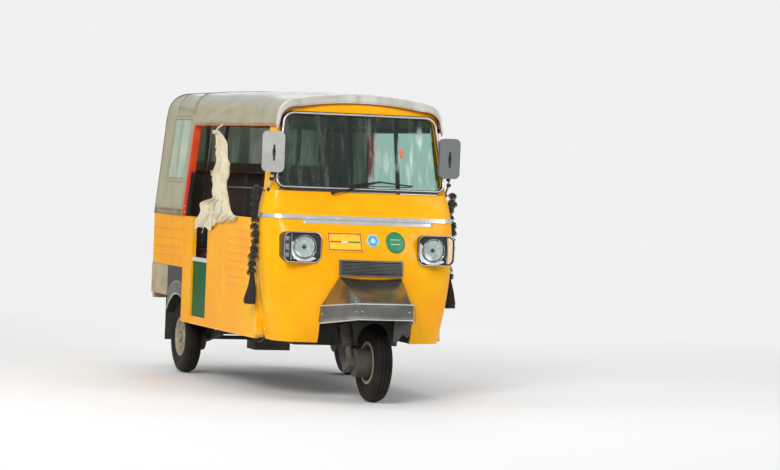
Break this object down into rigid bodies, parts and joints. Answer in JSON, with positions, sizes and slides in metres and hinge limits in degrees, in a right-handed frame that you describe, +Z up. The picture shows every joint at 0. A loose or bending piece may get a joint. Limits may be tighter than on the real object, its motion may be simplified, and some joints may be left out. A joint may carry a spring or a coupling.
{
  "type": "auto rickshaw",
  "caption": "Three-wheeled passenger vehicle with a rounded steel nose, canvas hood, open sides, bench seat and single steered front wheel.",
  "frame": {"origin": "on the ground under the middle of the overall box", "axes": "+Z up, -Y the vehicle's front, +X the vehicle's left side"},
  "size_m": [1.4298, 3.12, 1.9978],
  "materials": {
    "body_yellow": "gloss, sun-faded in places, scuffed along the sills",
    "dark_metal": "satin black with road dust",
    "trim_metal": "satin",
    "worn_steel": "polished once, now streaked and dull",
    "glass": "clear, faint green tint",
    "seal_rubber": "matt black",
    "dash_plastic": "grained",
    "lamp_bezel": "bright, dark inside",
    "lamp_glass": "fluted clear glass",
    "green_paint": "gloss dark green",
    "lamp_red": "clear red",
    "canvas": "coated canvas, creased and dusty",
    "clear_sheet": "hazy soft sheet",
    "seat_cover": "black vinyl with sewn channels",
    "engine_iron": "oily cast surface",
    "mirror_shell": "pale grey moulded",
    "black_yarn": "fluffy black yarn",
    "curtain_cloth": "coated cloth, cream, creased",
    "rim_silver": "silver paint, dusty",
    "tyre_rubber": "matt black, dusty side walls"
  },
  "bodies": {
    "body": {"front_cowl": "body_yellow", "grille": "dark_metal", "trim_strip": "trim_metal", "wheel_housing": "dark_metal", "wheel_shroud": "worn_steel", "windscreen_frame": "body_yellow", "windscreen_glass": "glass", "windscreen_seal": "seal_rubber", "dashboard": "dash_plastic", "headlamps": "lamp_bezel", "lamp_lenses": "lamp_glass", "side_panel_right": "body_yellow", "side_panel_left": "body_yellow", "guard_plate": "green_paint", "guard_rails": "trim_metal", "rear_quarter_right": "body_yellow", "rear_quarter_left": "body_yellow", "floor_pan": "dark_metal", "rear_deck": "dark_metal", "tail_panel": "body_yellow", "tail_lamps": "lamp_red", "hood_canvas": "canvas", "hood_frame": "dark_metal", "hood_windows": "clear_sheet", "driver_cushion": "seat_cover", "driver_backrest": "seat_cover", "bench_cushion": "seat_cover", "bench_backrest": "seat_cover", "seat_frames": "dark_metal", "chassis_frame": "dark_metal", "engine_block": "engine_iron", "rear_suspension": "dark_metal", "rear_fenders": "dark_metal", "mud_flaps": "seal_rubber", "rear_bumper": "worn_steel", "mirrors": "mirror_shell", "wiper": "dark_metal", "garlands": "black_yarn", "curtain": "curtain_cloth"},
    "steering": {"front_fork": "dark_metal", "handlebar": "trim_metal"},
    "front_wheel": {"rim_front": "rim_silver", "tyre_front": "tyre_rubber"},
    "rear_wheel_right": {"rim_rear_right": "rim_silver", "tyre_rear_right": "tyre_rubber"},
    "rear_wheel_left": {"rim_rear_left": "rim_silver", "tyre_rear_left": "tyre_rubber"},
    "rear_lid": {"rear_lid": "body_yellow"}
  },
  "joints": [
    {"name": "steer", "type": "hinge", "parent": "body", "child": "steering", "pos_m": [0, -1.3, 0], "axis": [0, 0.4226, 0.9063], "range_deg": [-35, 35]},
    {"name": "front_wheel_spin", "type": "hinge", "parent": "steering", "child": "front_wheel", "pos_m": [0.035, -1.26, 0.25], "axis": [1, 0, 0], "continuous": true},
    {"name": "rear_wheel_right_spin", "type": "hinge", "parent": "body", "child": "rear_wheel_right", "pos_m": [-0.61, 0.92, 0.25], "axis": [1, 0, 0], "continuous": true},
    {"name": "rear_wheel_left_spin", "type": "hinge", "parent": "body", "child": "rear_wheel_left", "pos_m": [0.61, 0.92, 0.25], "axis": [1, 0, 0], "continuous": true},
    {"name": "rear_lid_hinge", "type": "hinge", "parent": "body", "child": "rear_lid", "pos_m": [0, 1.554, 1.066], "axis": [1, 0, 0], "range_deg": [0, 75]}
  ]
}
